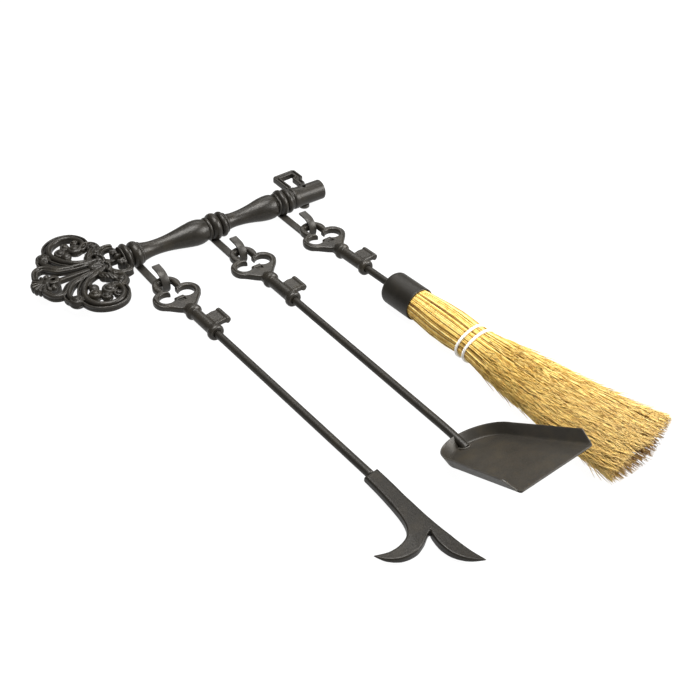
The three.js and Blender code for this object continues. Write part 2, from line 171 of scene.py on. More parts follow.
def modify(target, kind, **settings):
    """Changes a piece's mesh by a modifier, for good."""
    modifier = target.modifiers.new(kind, kind)
    for setting, value in settings.items():
        setattr(modifier, setting, value)
    evaluated = target.evaluated_get(bpy.context.evaluated_depsgraph_get())
    finished = bpy.data.meshes.new_from_object(evaluated)
    old = target.data
    target.modifiers.clear()
    target.data = finished
    bpy.data.meshes.remove(old)
    target.data.name = target.name


def sharpen(target, degrees):
    """Keeps edges sharper than this angle crisp under smooth shading."""
    target.data.set_sharp_from_angle(angle=math.radians(degrees))


def unit(vectors):
    return vectors / np.linalg.norm(vectors, axis=1)[:, None]


def arc(start, end, count):
    """Evenly spaced angles in radians, from limits in degrees."""
    return np.radians(np.linspace(start, end, count))


def full_turn(count):
    return np.linspace(0, 2 * math.pi, count, endpoint=False)


def circle(r, sides):
    turns = full_turn(sides)
    return np.stack([r * np.cos(turns), r * np.sin(turns)], 1)


def rounded_box(half_w, half_h, r, steps):
    """Section outline with rounded corners."""
    out = []
    for cx, cy, start in ((1, 1, 0), (-1, 1, 90), (-1, -1, 180), (1, -1, 270)):
        for a in arc(start, start + 90, steps):
            out.append((cx * (half_w - r) + r * math.cos(a), cy * (half_h - r) + r * math.sin(a)))
    return np.array(out)


def smooth_line(points, steps):
    """Catmull-Rom points through the given ones."""
    p = np.asarray(points, float)
    n = len(p)
    out = []
    for i in range(n - 1):
        a, b, c, d = (p[min(max(i + k, 0), n - 1)] for k in (-1, 0, 1, 2))
        for t in np.linspace(0, 1, steps, endpoint=False):
            bend = (2 * a - 5 * b + 4 * c - d) * t ** 2 + (3 * b - a - 3 * c + d) * t ** 3
            out.append(0.5 * (2 * b + (c - a) * t + bend))
    out.append(p[-1])
    return np.array(out)


def mirrored(half_outline):
    """A whole outline, even about x = 0, from its right half listed from one end to the other."""
    return [(-x, y) for x, y in half_outline[::-1]] + half_outline


def join(parts):
    """One list of points and faces from several."""
    points, faces, start = [], [], 0
    for some_points, some_faces in parts:
        points.append(some_points)
        faces.extend(tuple(i + start for i in face) for face in some_faces)
        start += len(some_points)
    return np.concatenate(points), faces


def rings(rows, ends="capped", closed_row=True):
    """Quads between equal rows of points. Their ends are capped, left open or joined up as a loop."""
    rows = np.asarray(rows, float)
    count, around = rows.shape[:2]
    faces = []
    for i in range(count if ends == "loop" else count - 1):
        near, far = i * around, (i + 1) % count * around
        for j in range(around if closed_row else around - 1):
            k = (j + 1) % around
            faces.append((near + j, near + k, far + k, far + j))
    if ends == "capped":
        faces.append(tuple(range(around))[::-1])
        faces.append(tuple(range((count - 1) * around, count * around)))
    return rows.reshape(-1, 3), faces


def lathe(profile, sides, ends="capped"):
    """Solid turned about the x axis: profile rows are (place along the axis, radius)."""
    return rings([[(place, y, z) for y, z in circle(r, sides)] for place, r in profile], ends)


def drill(r, low, high):
    """A round cutter along the x axis."""
    return lathe([(low, r), (high, r)], 40)


def block(low, high):
    (x0, y0, z0), (x1, y1, z1) = low, high
    return rings([[(x, y0, z0), (x, y1, z0), (x, y1, z1), (x, y0, z1)] for x in (x0, x1)])


def sweep(path, section, side, ends="capped"):
    """A section carried along a path. Its rows are (along side, along the second normal), and the section and
    side may each be one for the whole path or one for each of its points."""
    path = np.asarray(path, float)
    if ends == "loop":
        tangent = unit(np.roll(path, -1, 0) - np.roll(path, 1, 0))
    else:
        tangent = unit(np.gradient(path, axis=0))
    side = np.broadcast_to(np.asarray(side, float), path.shape)
    side = unit(side - (side * tangent).sum(1)[:, None] * tangent)
    other = np.cross(tangent, side)
    section = np.broadcast_to(section, (len(path),) + np.shape(section)[-2:])
    rows = path[:, None] + section[:, :, :1] * side[:, None] + section[:, :, 1:] * other[:, None]
    return rings(rows, ends)


# ---------- clay: cast shapes as a distance field on a grid ----------
def soften(a, b, blend):
    """The lower of two fields, with a fillet of about `blend` where they meet."""
    if blend <= 0:
        return np.minimum(a, b)
    near = np.maximum(blend - np.abs(a - b), 0) / blend
    return np.minimum(a, b) - near ** 2 * blend / 4


def rounded(a, b, r):
    """Where both fields hold, with the edge between them rounded to r."""
    a, b = a + r, b + r
    return np.minimum(np.maximum(a, b), 0) + np.hypot(np.maximum(a, 0), np.maximum(b, 0)) - r


class Clay:
    """A block of clay: a distance on a grid, negative inside the shape."""

    def __init__(self, low, high, step):
        self.step = step
        self.low = np.array(low, float) - 2 * step
        axes = [np.arange(a - 2 * step, b + 3 * step, step) for a, b in zip(low, high, strict=True)]
        self.x, self.y, self.z = np.meshgrid(*axes, indexing="ij", sparse=True)
        self.field = np.full([len(a) for a in axes], 50.0)

    def add(self, shape, blend=0.0):
        self.field = soften(self.field, shape, blend)

    def cut(self, shape, blend=0.0):
        self.field = -soften(-self.field, shape, blend)

    def ball(self, centre, radii):
        """An ellipsoid, as a distance that is right near its surface."""
        q = [(a - c) / r for a, c, r in zip((self.x, self.y, self.z), centre, radii, strict=True)]
        return (np.sqrt(q[0] ** 2 + q[1] ** 2 + q[2] ** 2) - 1) * min(radii)

    def rod(self, axis, centre, r):
        """A round bar along x, y or z, through a centre."""
        u, v = (a - c for a, c, n in zip((self.x, self.y, self.z), centre, "xyz", strict=True) if n != axis)
        return np.hypot(u, v) - r

    def line(self, points):
        """For each column: distance from a line, signed side (left positive) and how far along, 0 to 1."""
        p = np.asarray(points, float)
        best = np.full(np.broadcast(self.x, self.y).shape, 1e9)
        side = np.zeros_like(best)
        along = np.zeros_like(best)
        for i in range(len(p) - 1):
            ax, ay = p[i]
            dx, dy = p[i + 1] - p[i]
            size = dx * dx + dy * dy
            t = np.clip(((self.x - ax) * dx + (self.y - ay) * dy) / size, 0, 1)
            d = np.hypot(self.x - ax - t * dx, self.y - ay - t * dy)
            closer = d < best
            best = np.where(closer, d, best)
            side = np.where(closer, dx * (self.y - ay) - dy * (self.x - ax), side)
            along = np.where(closer, (i + t) / (len(p) - 1), along)
        return best, np.sign(side), along

    def polygon(self, points):
        """Signed distance of each column from an outline."""
        p = np.asarray(points, float)
        closed = np.concatenate([p, p[:1]])
        distance = self.line(closed)[0]
        odd = np.zeros(distance.shape, bool)
        for (ax, ay), (bx, by) in zip(closed[:-1], closed[1:], strict=True):
            if ay == by:
                continue
            crosses = (ay > self.y) != (by > self.y)
            odd ^= crosses & (self.x < ax + (self.y - ay) * (bx - ax) / (by - ay))
        return np.where(odd, -distance, distance)

    def slab(self, flat, middle, half, r):
        """A flat shape of half thickness `half` about z = middle, with edges rounded to r."""
        return rounded(flat, np.abs(self.z - middle) - half, r)

    def skin(self):
        """Points and quads of the surface."""
        field = self.field
        n = np.array(field.shape) - 1
        corners = [(i, j, k) for i in (0, 1) for j in (0, 1) for k in (0, 1)]

        def part(values, c):
            return values[c[0]:c[0] + n[0], c[1]:c[1] + n[1], c[2]:c[2] + n[2]]

        inside = field < 0
        count = sum(part(inside, c).astype(np.int8) for c in corners)
        mixed = (count > 0) & (count < 8)
        cells = np.argwhere(mixed)
        total = np.zeros((len(cells), 3))
        hits = np.zeros(len(cells))
        for a in corners:
            for axis in range(3):
                if a[axis]:
                    continue
                b = tuple(v + (k == axis) for k, v in enumerate(a))
                fa, fb = part(field, a)[mixed], part(field, b)[mixed]
                crosses = (fa < 0) != (fb < 0)
                t = fa[crosses] / (fa[crosses] - fb[crosses])
                spot = np.tile(np.array(a, float), (len(t), 1))
                spot[:, axis] += t
                total[crosses] += spot
                hits[crosses] += 1
        points = self.low + self.step * (cells + total / hits[:, None])
        number = np.full(mixed.shape, -1)
        number[mixed] = np.arange(len(cells))
        faces = []
        for axis in range(3):
            u, v = (axis + 1) % 3, (axis + 2) % 3
            ahead = np.roll(inside, -1, axis)
            changes = inside != ahead
            changes[(slice(None),) * axis + (-1,)] = False
            spots = np.argwhere(changes)
            eu, ev = np.eye(3, dtype=int)[u], np.eye(3, dtype=int)[v]
            quad = [number[tuple((spots + o).T)] for o in (-eu - ev, -ev, 0 * eu, -eu)]
            quad = np.stack(quad, 1)
            out = inside[tuple(spots.T)]
            faces.append(np.where(out[:, None], quad, quad[:, ::-1]))
        return points, np.concatenate(faces)


# ---------- materials ----------
def nodes_of(name):
    material = bpy.data.materials.new(name)
    material.use_nodes = True
    tree = material.node_tree
    return material, tree, tree.nodes["Principled BSDF"]


def fill(node, values):
    """Sets a node's sockets to constants."""
    for socket, value in values.items():
        node.inputs[socket].default_value = value


def noise_at(tree, scale, detail):
    """Noise in the piece's own space."""
    where = tree.nodes.new("ShaderNodeTexCoord")
    node = tree.nodes.new("ShaderNodeTexNoise")
    fill(node, {"Scale": scale, "Detail": detail})
    tree.links.new(where.outputs["Object"], node.inputs["Vector"])
    return node.outputs["Fac"]


def ramp(tree, factor, stops):
    node = tree.nodes.new("ShaderNodeValToRGB")
    while len(node.color_ramp.elements) < len(stops):
        node.color_ramp.elements.new(0.5)
    for element, (place, colour) in zip(node.color_ramp.elements, stops, strict=True):
        element.position = place
        element.color = (*colour, 1)
    tree.links.new(factor, node.inputs["Fac"])
    return node.outputs["Color"]


def blend_colours(tree, factor, a, b, mode="MIX"):
    node = tree.nodes.new("ShaderNodeMix")
    node.data_type = "RGBA"
    node.blend_type = mode
    for value, socket in ((factor, node.inputs[0]), (a, node.inputs[6]), (b, node.inputs[7])):
        if isinstance(value, bpy.types.NodeSocket):
            tree.links.new(value, socket)
        else:
            socket.default_value = value
    return node.outputs[2]


def relief(tree, height, strength, distance, normal=None):
    node = tree.nodes.new("ShaderNodeBump")
    fill(node, {"Strength": strength, "Distance": distance})
    tree.links.new(height, node.inputs["Height"])
    if normal is not None:
        tree.links.new(normal, node.inputs["Normal"])
    return node.outputs["Normal"]


def grey(value, warm=0.16):
    return (value * (1 + warm), value, value * (1 - 1.5 * warm))


BLACK, WHITE = grey(0), grey(1, 0)


def coated_metal(name, tone, pitting=0.3, grain=0.2, wear_and_highlight=0.6, roughness=0.33, shine=0.4):
    """Graphite powder coat: speckled and mottled, with painted shade in its hollows, and lighter on its edges
    from rubbed wear and a painted highlight.
    """
    material, tree, shader = nodes_of(name)
    mottle = noise_at(tree, 55, 5)
    speckle = noise_at(tree, 1100, 3)
    base = ramp(tree, mottle, [(0.3, grey(tone * 0.7)), (0.52, grey(tone)), (0.72, grey(tone * 1.35, 0.24))])
    flecks = ramp(tree, speckle, [(0.5, BLACK), (0.68, WHITE)])
    flecked = blend_colours(tree, flecks, base, (*grey(tone * (1 + 5 * grain), 0.2), 1))
    raised = tree.nodes.new("ShaderNodeNewGeometry").outputs["Pointiness"]
    # Painted shade: points in hollows, found by their pointiness, are darkened as if in shadow.
    painted_hollow_shade = ramp(tree, raised, [(0.42, grey(0.08, 0)), (0.49, WHITE)])
    shaded = blend_colours(tree, 1.0, flecked, painted_hollow_shade, "MULTIPLY")
    # Lighter edges, found by their pointiness: partly rubbed wear of the coat, partly a painted highlight
    # where light catches them.
    edges = ramp(tree, raised, [(0.51, BLACK), (0.57, grey(wear_and_highlight, 0))])
    rubbed_and_highlit = blend_colours(tree, edges, shaded, (*grey(tone * 3.4 + 0.03 * wear_and_highlight, 0.08), 1))
    tree.links.new(rubbed_and_highlit, shader.inputs["Base Color"])
    gloss = ramp(tree, speckle, [(0.35, grey(roughness + 0.1, 0)), (0.65, grey(roughness - 0.05, 0))])
    tree.links.new(gloss, shader.inputs["Roughness"])
    cast = relief(tree, noise_at(tree, 420, 3), pitting, 0.0006)
    tree.links.new(relief(tree, speckle, grain, 0.0003, cast), shader.inputs["Normal"])
    fill(shader, {"Specular IOR Level": shine, "Metallic": 0.25})
    return material


def own_value(tree, name):
    """A value that each point of the piece has."""
    node = tree.nodes.new("ShaderNodeAttribute")
    node.attribute_name = name
    return node.outputs["Fac"]


def dry_straw(name, dark, gold, pale, frayed):
    """Broom straw: each stalk has its own colour, with painted shade on its flanks and in the deeper layers
    carried in its point values, blotches along it and paler frayed ends.
    """
    material, tree, shader = nodes_of(name)
    # Each point's value is its stalk's own colour times painted shade: darker on the flanks and deeper in the
    # bundle.
    stalk = ramp(tree, own_value(tree, "tint_and_shade"), [(0.0, dark), (0.3, gold), (0.8, pale)])
    blotch = ramp(tree, noise_at(tree, 160, 4), [(0.35, (0.72, 0.6, 0.45)), (0.56, WHITE)])
    blotched = blend_colours(tree, 0.8, stalk, blotch, "MULTIPLY")
    # The worn value pales frayed ends; it is lowered on the flanks too, so their painted shade stays dark.
    ends = blend_colours(tree, own_value(tree, "worn"), blotched, (*frayed, 1))
    tree.links.new(ends, shader.inputs["Base Color"])
    tree.links.new(relief(tree, noise_at(tree, 1500, 3), 0.3, 0.0002), shader.inputs["Normal"])
    fill(shader, {"Roughness": 0.55, "Specular IOR Level": 0.35})
    return material


def cotton(name, colour):
    """White cord, very slightly stained, with fine fibres."""
    material, tree, shader = nodes_of(name)
    stain = ramp(tree, noise_at(tree, 240, 3), [(0.3, tuple(c * 0.93 for c in colour)), (0.6, colour)])
    tree.links.new(stain, shader.inputs["Base Color"])
    tree.links.new(relief(tree, noise_at(tree, 3200, 3), 0.5, 0.0002), shader.inputs["Normal"])
    fill(shader, {"Roughness": 0.85})
    return material


IRON = coated_metal("graphite_cast_iron", 0.015)
KEY_IRON = coated_metal("graphite_cast_key", 0.019, shine=0.48)
FORGED = coated_metal("graphite_forged", 0.013, pitting=0.2, wear_and_highlight=0.8, roughness=0.36, shine=0.32)
STEEL = coated_metal("graphite_steel", 0.017, pitting=0.03, grain=0.04, wear_and_highlight=0.5, roughness=0.4)
SHEET = coated_metal("graphite_sheet", 0.03, pitting=0.02, grain=0.04, wear_and_highlight=0.5, roughness=0.44, shine=0.48)
STRAW = dry_straw("broom_straw", dark=(0.10, 0.036, 0.004), gold=(0.92, 0.59, 0.12), pale=(1.0, 0.83, 0.34),
                  frayed=(0.93, 0.70, 0.33))
COTTON = cotton("white_cotton", (1.0, 0.99, 0.94))


# ---------- rack shaft ----------
def beads_on(xs, base, beads):
    """Profile radius: a base line with half-round beads (centre, half width, radius) standing on it."""
    r = base(xs)
    for centre, half, top in beads:
        t = np.clip(1 - ((xs - centre) / half) ** 2, 0, 1)
        foot = min(base(np.array([centre]))[0], top)
        r = np.maximum(r, np.where(t > 0, foot + (top - foot) * np.sqrt(t), 0))
    return r


def shaft_profile():
    """Place along the bar and radius of the shaft, from the bow to the tip."""
    second, third = HOOK_X[1], HOOK_X[2]
    tip_collar = TIP_R + 0.9
    bellies = [(SHAFT_START, 12.5), (-8, 13), (7, 12.8), (12, 11.9), (20, 10.6), (31, 10.2), (45, 11.0),
               (60, 13.2), (73, 15.5), (85, 17.2), (94, 16.9), (102, 14.6), (105, 13.6), (second + 20, 12.6),
               (second + 25, 11.2), (second + 34, 10.2), (second + 49, 11.0), (second + 64, 13.3),
               (second + 77, 16.0), (second + 88, 17.2), (second + 96, 16.7), (third - 9, 14.4),
               (third - 7, 13.6), (third + 17, 13.2), (TIP_START - 6, tip_collar), (TIP_START, tip_collar)]
    line = smooth_line(bellies, 6)

    def base(xs):
        return np.interp(xs, line[:, 0], line[:, 1])

    beads = [(-14.5, 4.6, COLLAR_R), (-1.5, 6.4, RING_R), (5.6, 2.2, 14.6)]
    beads += [(second - 6.7, 2.8, 15.9), (second + 3, 6.8, COLLAR_R)]
    beads += [(third - 5.4, 2.5, 15.9), (third + 1.8, 5.2, COLLAR_R)]
    for x in (second + 2.8, third):
        beads += [(x + 12, 4.6, RING_R), (x + 18, 1.6, 14.2)]
    xs = np.arange(SHAFT_START, TIP_START, 0.5)
    edge = 1.4
    tip = [(TIP_START, tip_collar), (TIP_START + 0.6, TIP_R)]
    tip += [(x, TIP_R) for x in np.arange(TIP_START + 4, TIP_END - 2, 4)]
    tip += [(TIP_END - edge + edge * math.sin(a), TIP_R - edge + edge * math.cos(a))
            for a in np.radians((0, 22, 45, 67, 90))]
    tip += [(TIP_END, 10.4), (TIP_END - 0.8, 9.8), (TIP_END - 0.8, 0.5)]
    return [(SHAFT_START, 0.5), (SHAFT_START, 11.5), *zip(xs, beads_on(xs, base, beads), strict=True), *tip]


def rack_shaft():
    made = piece("rack_shaft_turned", *lathe(shaft_profile(), 96), BAR, IRON, "rack", "cast_iron",
                 "rack_shaft")
    half = STRAP_W / 2 + GAP
    for x in HOOK_X:
        cut(made, *block((x - half, -25, -5), (x + half, 25, STRAP_Z + STRAP_T / 2 + GAP)), RACK)
        cut(made, *drill(SCREW_R + GAP, 0, BAR_Z - 4), upright_at(x))
    cut(made, *drill(BORE_R, -5, 50), upright_at(WALL_HOLES[1]))
    sharpen(made, 38)


# ---------- rack bow ----------
# Scrollwork of the bow on the +y side: width at the start, middle and end, whether its raised rim is on the
# left of its line, and the line.
SCROLLS = (
    ((10.5, 13.2, 10.0), False, ((-44, 7), (-58, 12), (-76, 20), (-90, 36), (-96, 57), (-90, 75), (-74, 85),
                                 (-57, 82.5), (-47, 70), (-46, 57), (-53, 49))),
    ((8.0, 10.6, 11.0), False, ((-50, 9), (-74, 12), (-94, 18), (-106, 30), (-111, 44), (-106, 55))),
    ((7.5, 8.6, 8.0), False, ((-84, 13), (-100, 19), (-113, 33), (-124, 30), (-129.5, 17))),
    ((8.5, 9.0, 7.5), False, ((-14, 14), (-20, 29), (-31, 32), (-41, 23), (-47, 9))),
    ((9.0, 9.5, 8.0), True, ((-46, 54), (-38.5, 48), (-37, 38), (-42, 30), (-44, 17))),
)
# Rolled leaf ends on the +y side: centre, radius, which way the curl turns and how far it stands up.
CURLS = ((-104, 54, 10.6, 1, 2.6), (-61, 52, 10.8, -1, 1.8), (-80, 54, 9.8, 1, 1.6), (-70, 65, 7.4, 1, 0.6),
         (-40, 44, 9.2, 1, 2.0), (-42.5, 28, 7.4, -1, 2.0), (-56, 24, 6.2, 1, 1.4), (-56, 67, 6.4, -1, 0.6))


def scroll(clay, line, widths, rim_left):
    """A cast bar: flat back, a large rim along one side of its top and a lower flange along the other."""
    distance, side, along = clay.line(smooth_line(line, 6))
    half = np.interp(along, (0, 0.5, 1), widths) / 2
    across = distance * side * (1 if rim_left else -1)
    flat = distance - half
    bed = BOW_HALF - 4.0
    clay.add(clay.slab(flat, (bed - BOW_HALF) / 2, (bed + BOW_HALF) / 2, 1.6), 0.6)
    rim_r = half * 0.6
    rim = np.hypot(across - half + rim_r, (clay.z - BOW_HALF - 0.9 + rim_r) * 0.9) - rim_r
    flange = np.hypot(across + half - 1.4, (clay.z - BOW_HALF + 2.2) * 0.8) - 1.45
    for edge in (rim, flange):
        clay.add(np.maximum(edge, flat - 0.1), 0.5)


def curl(clay, x, y, r, way, lift):
    """A rolled leaf end: a domed disc with a spiral groove and an eye."""
    dx, dy = clay.x - x, clay.y - y
    out = np.hypot(dx, dy)
    turn = np.arctan2(dy, dx) * way / (2 * math.pi)
    pitch = r * 0.52
    groove = np.abs(((out / pitch - turn) % 1.0) - 0.5) * pitch
    dome = clay.ball((x, y, -0.5), (r, r, BOW_HALF + lift + 0.5))
    channel = np.maximum(1.5 - groove, 0) * 0.95 * (out > r * 0.25) * (clay.z > -1)
    clay.add(dome + channel, 0.6)


def leaf(clay, root, tip, wide, lift):
    """A cupped leaf with a raised midrib between two lobed halves."""
    root, tip = np.array(root, float), np.array(tip, float)
    size = np.linalg.norm(tip - root)
    (ux, uy), middle = (tip - root) / size, (root + tip) / 2
    along = (clay.x - middle[0]) * ux + (clay.y - middle[1]) * uy
    across = -(clay.x - middle[0]) * uy + (clay.y - middle[1]) * ux
    lobes = 1 + 0.13 * np.cos(along / size * 6 * math.pi)
    flat = np.hypot(along / (size / 2), across / (wide * lobes))
    top = BOW_HALF + lift - np.minimum(flat, 1.2) ** 2 * 2.6
    veins = 0.55 * np.cos(np.abs(across) * 2.2 - along * 0.9) * np.minimum(np.abs(across), 2) / 2
    rib = 1.1 * np.maximum(1 - np.abs(across) / 1.5, 0)
    body = np.maximum((flat - 1) * wide, np.maximum(clay.z - top - rib - veins, -BOW_HALF - clay.z))
    clay.add(body, 0.5)


def shell(clay):
    """The fan at the end of the bow: flutes that widen from one point, with round ends."""
    root_x, flutes = -122.5, 9
    for i, a in enumerate(arc(92, 268, flutes)):
        reach = 13.0 if i in (0, flutes - 1) else 15.6
        for share in np.linspace(0.3, 1.0, 8):
            out, size = reach * share, 1.0 + 2.0 * share
            spot = (root_x + out * math.cos(a), out * math.sin(a), 0.6 - 0.6 * share)
            clay.add(clay.ball(spot, (size, size, BOW_HALF + 1.2)), 0.15)
    clay.add(clay.ball((-121, 0, 0.6), (6.4, 6.4, 6.0)), 0.8)
    for way in (1, -1):
        clay.add(clay.ball((-116.5, 12 * way, 0.5), (4.6, 4.6, 5.2)), 0.8)


def bar(clay, line, half_w, middle, half, r, blend):
    """A plain bar along a line, with its edges rounded to r."""
    clay.add(clay.slab(clay.line(line)[0] - half_w, middle, half, r), blend)


def rack_bow():
    """Scrolls, leaves, buds and a shell round a spine, squared off where the bow meets the shaft."""
    clay = Clay((-144, -93, -17.5), (-15, 93, 17.5), 0.8)
    for widths, rim_left, line in SCROLLS:
        for way in (1, -1):
            scroll(clay, [(x, y * way) for x, y in line], widths, rim_left == (way > 0))
    for x, y, r, turn, lift in CURLS:
        for way in (1, -1):
            curl(clay, x, y * way, r, turn * way, lift)
    for way in (1, -1):
        clay.add(clay.ball((-77, 42 * way, 1), (6.4, 6.4, 5.4)), 0.8)
        bar(clay, [(-76, 24 * way), (-79, 40 * way), (-76, 52 * way)], 2.8, -0.5, 3.6, 1.8, 1.0)
        leaf(clay, (-31, 12.5 * way), (-15.5, 12 * way), 6.2, 4.4)
        leaf(clay, (-60, 16 * way), (-44, 40 * way), 5.2, 1.8)
    # The spine, the hub with its leaf, and the neck with its bud.
    bar(clay, [(-105, 0), (-58, 0)], 3.4, -0.8, 3.6, 1.8, 1.2)
    bar(clay, [(-57, 0), (-42, 0)], 7.6, 0, 4.8, 2.4, 1.0)
    leaf(clay, (-63, 0), (-38, 0), 5.4, 2.2)
    bar(clay, [(-34, 0), (-12, 0)], 3.6, 0, 4.2, 2, 1.2)
    clay.add(clay.ball((-24.5, 0, 2.5), (6.4, 4.6, 7.6)), 0.8)
    # Two curved rows of beads.
    for way in (1, -1):
        for a in arc(-52, 52, 8):
            x, y = -55.5 + 14.5 * math.cos(a), way * (9.5 + 14.5 * math.sin(a))
            clay.add(clay.ball((x, y, 5.4), (2.2, 2.2, 2.6)), 0.3)
    shell(clay)
    boss = clay.rod("z", (WALL_HOLES[0], 0, 0), BOSS_R[0])
    clay.add(clay.slab(boss, 0.8, 5.4, 1.6), 1.0)
    clay.add(np.maximum(clay.rod("x", (0, 0, 0), 16.6), np.abs(clay.x + 20.2) - 0.9), 1.2)
    clay.cut(clay.rod("z", (WALL_HOLES[0], 0, 0), BORE_R), 0.4)
    clay.cut(SHAFT_START - GAP - clay.x)
    piece("rack_bow_scrollwork", *clay.skin(), BAR, IRON, "rack", "cast_iron", "rack_bow")


# ---------- rack bit, bosses and hooks ----------
def rack_bit():
    """A flat plate with a slot, a raised rim and a root that fits the tip."""
    clay = Clay((247, 5, -5), (290, 66, 5), 0.6)
    outline = clay.polygon([(249, 8), (249, 59), (252, 62), (284, 64), (287.5, 61), (287.5, 40), (281, 33),
                            (281, 8)])
    slot = clay.polygon([(257.5, 0), (257.5, 53), (278, 54.5), (278, 46), (272, 43), (272, 0)])
    plate = np.maximum(outline, -slot)
    clay.add(clay.slab(plate, -0.8, BIT_HALF - 0.8, 1.9))
    rim = np.maximum(np.abs(plate + 1.5) - 1.5, 24 - clay.y)
    clay.add(clay.slab(rim, 0.3, BIT_HALF + 0.3, 1.4), 0.4)
    clay.cut(clay.rod("x", (0, 0, 0), TIP_R + GAP))
    clay.cut(np.maximum(clay.rod("x", (0, 0, 0), COLLAR_R + GAP), clay.x - TIP_START - 1))
    piece("rack_bit_casting", *clay.skin(), BAR, IRON, "rack", "cast_iron", "rack_bit")


def wall_boss(name, x, r, top):
    """A spacer round a wall screw, with softened rims."""
    soft = 0.7
    profile = [(soft, BORE_R), (0, BORE_R + soft), (0, r - soft), (soft, r), (top - soft, r), (top, r - soft),
               (top, BORE_R + soft), (top - soft, BORE_R)]
    piece(f"wall_boss_{name}_turned", *lathe(profile, 64, "loop"), upright_at(x), IRON, "rack", "cast_iron",
          f"wall_boss_{name}")


def hook(name, x):
    """Flat strap with softened edges: along the wall, round the crook and back over the bow that it holds."""
    middle = STRAP_Z + CROOK_R
    path = [(x, y, STRAP_Z) for y in (STRAP_ROOT_Y, -20, -45)]
    path += [(x, CROOK_Y - CROOK_R * math.sin(a), middle - CROOK_R * math.cos(a)) for a in arc(0, 180, 37)]
    path.append((x, HOOK_TIP_Y, middle + CROOK_R + 0.8))
    section = rounded_box(STRAP_W / 2, STRAP_T / 2, 0.55, 3)
    made = piece(f"hook_{name}_strap", *sweep(path, section, (1, 0, 0)), RACK, STEEL, "rack", "black_steel",
                 f"hook_{name}")
    sink = [(STRAP_BACK - 0.5, 4.2), (STRAP_BACK + 1.8, SCREW_R + GAP), (STRAP_BACK + 6, SCREW_R + GAP)]
    cut(made, *lathe(sink, 40), upright_at(x))
    sharpen(made, 35)


def hook_screw(name, x):
    """Countersunk screw with a cross recess, its head flush with the back of the strap."""
    profile = [(STRAP_BACK, 0.4), (STRAP_BACK, 3.3), (STRAP_BACK + 0.15, 3.55), (STRAP_BACK + 1.75, SCREW_R)]
    for z in STRAP_BACK + 2.2 + np.arange(11):
        profile += [(z, SCREW_R - 0.05), (z + 0.5, SCREW_R - 0.45)]
    profile += [(BAR_Z - 5.4, SCREW_R - 0.4), (BAR_Z - 5, 0.6)]
    made = piece(f"hook_screw_{name}_turned", *lathe(profile, 32), upright_at(x), STEEL, "rack",
                 "black_steel", f"hook_screw_{name}")
    for wide, deep in ((2.1, 0.35), (0.35, 2.1)):
        cut(made, *block((x - wide, -deep, STRAP_BACK - 1), (x + wide, deep, STRAP_BACK + 0.9)), RACK)
    sharpen(made, 35)


# ---------- tool handles ----------
def handle_clay():
    """A small cast key: trefoil bow, round shank with a bead at each end, and a bit with a rolled lip."""
    clay = Clay((-33.5, -1, -11), (33.5, 134, 11), 0.62)
    # The trefoil and its neck.
    flat = clay.polygon(circle(17.8, 40) + (0, 114.5))
    for way in (1, -1):
        flat = soften(flat, clay.polygon(circle(17, 40) + (14.5 * way, 90)), 0.8)
    neck = clay.polygon(mirrored([(8.5, 55.5), (9, 61), (14, 65.5), (22.5, 74.5), (27, 84)]))
    flat = soften(flat, neck, 2.0)
    # Its opening: a crown over a slit, an eye on each side and a tab that stands up between the eyes.
    crown = clay.polygon(mirrored([(9.2, 104), (9.2, 119), (7.2, 122.4)]))
    holes = soften(crown, clay.polygon(mirrored([(5, 85.6), (5, 108)])), 0.5)
    for way in (1, -1):
        holes = soften(holes, clay.polygon(circle(10, 32) + (13.6 * way, 90.2)), 0.6)
    tab = clay.polygon(mirrored([(7.4, 70), (6.6, 85.8)]))
    holes = -soften(-holes, tab, 0.6)
    clay.add(clay.slab(np.maximum(flat, -holes), 0, HANDLE_HALF, 2.6))
    # A groove along each side, and a small recess in the tab.
    for way in (1, -1):
        rib = [(28.83, 96.6), (28.365, 86.6), (24.18, 77.6), (15.81, 67.1), (9.3, 59.6)]
        distance = clay.line(smooth_line([(x * way, y) for x, y in rib], 5))[0]
        groove = np.hypot(np.maximum(distance - 0.1, 0), np.abs(clay.z) - HANDLE_HALF - 0.2) - 1.3
        clay.cut(groove, 0.6)
    recess = np.maximum(np.abs(clay.x) - 4.8, np.abs(clay.y - 77.4) - 2.7)
    clay.cut(np.maximum(recess, HANDLE_HALF - 2.4 - np.abs(clay.z)), 0.2)
    # The shank, with its beads.
    upper = [(47, SHANK_R), (48.2, 9.0), (50, BEAD_R), (53.2, BEAD_R), (55.5, 9.3), (58, 8.6), (60.5, 7.2),
             (66, 3.0)]
    lower = [(0, 8.6), (1.5, 9.9), (3.2, BEAD_R), (6.6, BEAD_R - 0.2), (8.0, 9.2), (9.6, SHANK_R + 0.5),
             (12, SHANK_R)]
    shank = clay.rod("y", (0, 0, 0), 0) - np.interp(clay.y, *zip(*(lower + upper), strict=True))
    clay.add(np.maximum(shank, np.maximum(-clay.y, clay.y - 66)) * 0.9, 0.9)
    # The bit, with a lip on its far edge and a ridge along the edge nearer the rod, and the rod's socket.
    plate = clay.polygon([(0, 13.5), (0, 37), (9, 36.4), (15, 37.8), (21, 37), (27, 37.2), (28, 34), (28, 16),
                          (26, 13.8), (19, 14.6), (9, 14.2)])
    clay.add(clay.slab(plate, 0, 3.0, 1.3), 1.2)
    lip = np.hypot(clay.x - 24.4, clay.z * 0.85) - 3.7
    clay.add(np.maximum(lip, np.abs(clay.y - 25.4) - 11.6), 0.8)
    fore = np.hypot(clay.y - 16.2, np.abs(clay.z) - 1.8) - 1.7
    clay.add(np.maximum(fore, np.abs(clay.x - 14) - 13), 0.8)
    clay.cut(np.maximum(clay.rod("y", (0, 0, 0), ROD_R + GAP), clay.y - SOCKET_DEPTH - GAP), 0.5)
    return clay.skin()


